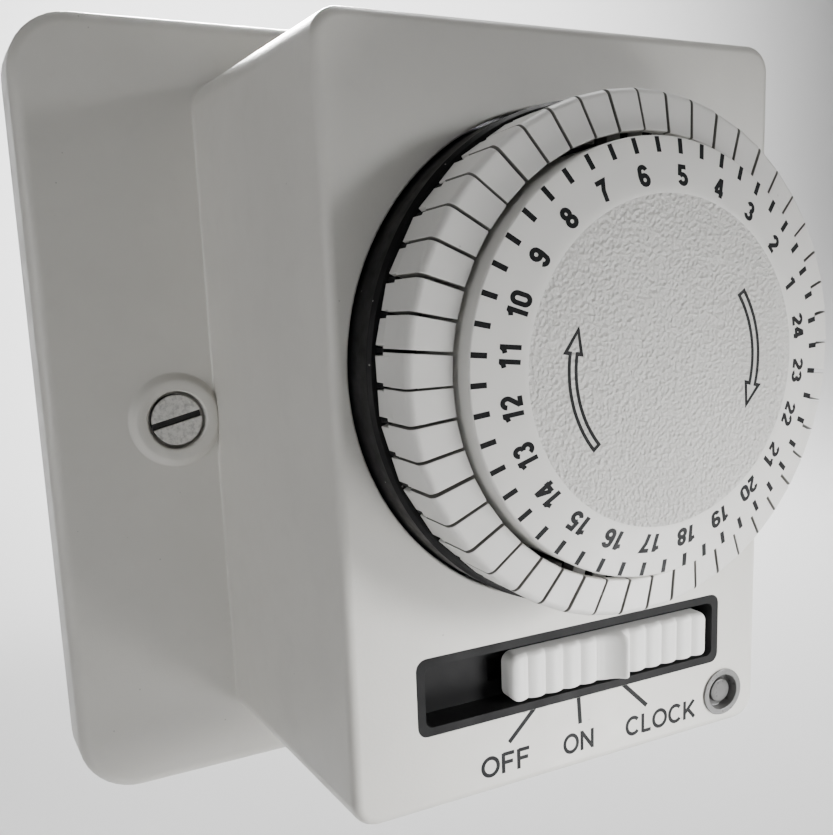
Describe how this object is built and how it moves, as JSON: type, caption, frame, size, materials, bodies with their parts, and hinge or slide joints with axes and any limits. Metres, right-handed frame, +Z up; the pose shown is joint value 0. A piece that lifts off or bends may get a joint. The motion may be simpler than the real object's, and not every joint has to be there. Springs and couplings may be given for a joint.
{
  "type": "programmable timer",
  "caption": "Wall-mounted 24-hour heating timer: stepped box with a turning dial ringed by push-out tappets, a three-position slide switch and an indicator lens.",
  "frame": {"origin": "centre of the back face of the cover's flange, on the wall", "axes": "+X to the viewer's right, +Y into the wall, +Z up; the dial and slide switch face -Y"},
  "size_m": [0.1308, 0.0741, 0.1268],
  "materials": {
    "cover_plastic": "semi-gloss warm grey-white moulding with a fine texture",
    "backplate_plastic": "matt moulding",
    "bezel_plastic": "matt dark grey moulding",
    "knob_plastic": "semi-gloss white moulding",
    "black_plastic": "matt black moulding",
    "lens_plastic": "translucent smoke-grey lens",
    "lamp_glass": "clear neon bulb",
    "cap_plastic": "white moulding, spark-eroded centre, printed border",
    "tappet_plastic": "semi-gloss white moulding",
    "zinc_steel": "zinc-plated, a little worn",
    "gear_brass": "stamped brass",
    "turned_brass": "turned brass",
    "spring_steel": "hardened strip",
    "switch_plastic": "black phenolic",
    "plunger_plastic": "red moulding",
    "terminal_plastic": "ivory urea moulding"
  },
  "bodies": {
    "case": {"cover": "cover_plastic", "cover_screws": "zinc_steel", "screw_inserts": "turned_brass", "backplate": "backplate_plastic", "slot_bezel": "bezel_plastic", "indicator_lens": "lens_plastic", "neon_lamp": "lamp_glass", "front_plate": "zinc_steel", "back_plate": "zinc_steel", "plate_pillars": "turned_brass", "pillar_screws": "zinc_steel", "frame_screws": "zinc_steel", "dial_bush": "turned_brass", "motor_case": "zinc_steel", "motor_screws": "zinc_steel", "lever_pin": "turned_brass", "switch_case": "switch_plastic", "switch_blades": "gear_brass", "switch_screws": "zinc_steel", "terminal_block": "terminal_plastic", "terminal_barrels": "turned_brass", "terminal_screws": "zinc_steel"},
    "dial": {"tappet_carrier": "black_plastic", "dial_cap": "cap_plastic", "carrier_nut": "turned_brass", "dial_arbor": "zinc_steel", "dial_wheel": "gear_brass", "clutch_spring": "spring_steel", "arbor_clip": "spring_steel"},
    "slider": {"slide_knob": "knob_plastic", "slide_carriage": "black_plastic"},
    "middle_shaft": {"middle_arbor": "zinc_steel", "middle_wheel": "gear_brass"},
    "motor_rotor": {"motor_pinion": "zinc_steel"},
    "follower": {"follower_lever": "zinc_steel"},
    "plunger": {"switch_plunger": "plunger_plastic"},
    "tappets_01": {"tappets_01": "tappet_plastic"},
    "tappets_02": {"tappets_02": "tappet_plastic"},
    "tappets_03": {"tappets_03": "tappet_plastic"},
    "tappets_04": {"tappets_04": "tappet_plastic"},
    "tappets_05": {"tappets_05": "tappet_plastic"},
    "tappets_06": {"tappets_06": "tappet_plastic"},
    "tappets_07": {"tappets_07": "tappet_plastic"},
    "tappets_08": {"tappets_08": "tappet_plastic"},
    "tappets_09": {"tappets_09": "tappet_plastic"},
    "tappets_10": {"tappets_10": "tappet_plastic"},
    "tappets_11": {"tappets_11": "tappet_plastic"},
    "tappets_12": {"tappets_12": "tappet_plastic"},
    "tappets_13": {"tappets_13": "tappet_plastic"},
    "tappets_14": {"tappets_14": "tappet_plastic"},
    "tappets_15": {"tappets_15": "tappet_plastic"},
    "tappets_16": {"tappets_16": "tappet_plastic"},
    "tappets_17": {"tappets_17": "tappet_plastic"},
    "tappets_18": {"tappets_18": "tappet_plastic"},
    "tappets_19": {"tappets_19": "tappet_plastic"},
    "tappets_20": {"tappets_20": "tappet_plastic"},
    "tappets_21": {"tappets_21": "tappet_plastic"},
    "tappets_22": {"tappets_22": "tappet_plastic"},
    "tappets_23": {"tappets_23": "tappet_plastic"},
    "tappets_24": {"tappets_24": "tappet_plastic"}
  },
  "joints": [
    {"name": "dial_turn", "type": "hinge", "parent": "case", "child": "dial", "pos_m": [0, -0.0565, 0.0085], "axis": [0, -1, 0], "continuous": true},
    {"name": "tappets_01_slide", "type": "slide", "parent": "dial", "child": "tappets_01", "axis": [0.9585, 0, 0.285], "range_m": [0, 0.0025]},
    {"name": "tappets_02_slide", "type": "slide", "parent": "dial", "child": "tappets_02", "axis": [0.8521, 0, 0.5234], "range_m": [0, 0.0025]},
    {"name": "tappets_03_slide", "type": "slide", "parent": "dial", "child": "tappets_03", "axis": [0.6876, 0, 0.7261], "range_m": [0, 0.0025]},
    {"name": "tappets_04_slide", "type": "slide", "parent": "dial", "child": "tappets_04", "axis": [0.4762, 0, 0.8793], "range_m": [0, 0.0025]},
    {"name": "tappets_05_slide", "type": "slide", "parent": "dial", "child": "tappets_05", "axis": [0.2324, 0, 0.9726], "range_m": [0, 0.0025]},
    {"name": "tappets_06_slide", "type": "slide", "parent": "dial", "child": "tappets_06", "axis": [-0.0272, 0, 0.9996], "range_m": [0, 0.0025]},
    {"name": "tappets_07_slide", "type": "slide", "parent": "dial", "child": "tappets_07", "axis": [-0.285, 0, 0.9585], "range_m": [0, 0.0025]},
    {"name": "tappets_08_slide", "type": "slide", "parent": "dial", "child": "tappets_08", "axis": [-0.5234, 0, 0.8521], "range_m": [0, 0.0025]},
    {"name": "tappets_09_slide", "type": "slide", "parent": "dial", "child": "tappets_09", "axis": [-0.7261, 0, 0.6876], "range_m": [0, 0.0025]},
    {"name": "tappets_10_slide", "type": "slide", "parent": "dial", "child": "tappets_10", "axis": [-0.8793, 0, 0.4762], "range_m": [0, 0.0025]},
    {"name": "tappets_11_slide", "type": "slide", "parent": "dial", "child": "tappets_11", "axis": [-0.9726, 0, 0.2324], "range_m": [0, 0.0025]},
    {"name": "tappets_12_slide", "type": "slide", "parent": "dial", "child": "tappets_12", "axis": [-0.9996, 0, -0.0272], "range_m": [0, 0.0025]},
    {"name": "tappets_13_slide", "type": "slide", "parent": "dial", "child": "tappets_13", "axis": [-0.9585, 0, -0.285], "range_m": [0, 0.0025]},
    {"name": "tappets_14_slide", "type": "slide", "parent": "dial", "child": "tappets_14", "axis": [-0.8521, 0, -0.5234], "range_m": [0, 0.0025]},
    {"name": "tappets_15_slide", "type": "slide", "parent": "dial", "child": "tappets_15", "axis": [-0.6876, 0, -0.7261], "range_m": [0, 0.0025]},
    {"name": "tappets_16_slide", "type": "slide", "parent": "dial", "child": "tappets_16", "axis": [-0.4762, 0, -0.8793], "range_m": [0, 0.0025]},
    {"name": "tappets_17_slide", "type": "slide", "parent": "dial", "child": "tappets_17", "axis": [-0.2324, 0, -0.9726], "range_m": [0, 0.0025]},
    {"name": "tappets_18_slide", "type": "slide", "parent": "dial", "child": "tappets_18", "axis": [0.0272, 0, -0.9996], "range_m": [0, 0.0025]},
    {"name": "tappets_19_slide", "type": "slide", "parent": "dial", "child": "tappets_19", "axis": [0.285, 0, -0.9585], "range_m": [0, 0.0025]},
    {"name": "tappets_20_slide", "type": "slide", "parent": "dial", "child": "tappets_20", "axis": [0.5234, 0, -0.8521], "range_m": [0, 0.0025]},
    {"name": "tappets_21_slide", "type": "slide", "parent": "dial", "child": "tappets_21", "axis": [0.7261, 0, -0.6876], "range_m": [0, 0.0025]},
    {"name": "tappets_22_slide", "type": "slide", "parent": "dial", "child": "tappets_22", "axis": [0.8793, 0, -0.4762], "range_m": [0, 0.0025]},
    {"name": "tappets_23_slide", "type": "slide", "parent": "dial", "child": "tappets_23", "axis": [0.9726, 0, -0.2324], "range_m": [0, 0.0025]},
    {"name": "tappets_24_slide", "type": "slide", "parent": "dial", "child": "tappets_24", "axis": [0.9996, 0, 0.0272], "range_m": [0, 0.0025]},
    {"name": "middle_turn", "type": "hinge", "parent": "case", "child": "middle_shaft", "pos_m": [0.014, -0.046, -0.01575], "axis": [0, -1, 0], "continuous": true},
    {"name": "motor_turn", "type": "hinge", "parent": "case", "child": "motor_rotor", "pos_m": [0.00114, -0.042, -0.00043], "axis": [0, -1, 0], "continuous": true},
    {"name": "slider_slide", "type": "slide", "parent": "case", "child": "slider", "axis": [-1, 0, 0], "range_m": [0, 0.0127]},
    {"name": "follower_turn", "type": "hinge", "parent": "case", "child": "follower", "pos_m": [-0.0255, -0.0503, -0.015], "axis": [0, 1, 0], "range_deg": [0, 9.5]},
    {"name": "plunger_slide", "type": "slide", "parent": "case", "child": "plunger", "axis": [0, 0, -1], "range_m": [0, 0.0017]}
  ],
  "couplings": [
    {"joint": "middle_turn", "follows": "dial_turn", "ratio": -6},
    {"joint": "motor_turn", "follows": "dial_turn", "ratio": 24},
    {"joint": "follower_turn", "follows": "tappets_16_slide", "rad_per_m": 66.322},
    {"joint": "plunger_slide", "follows": "tappets_16_slide", "ratio": 0.68}
  ]
}
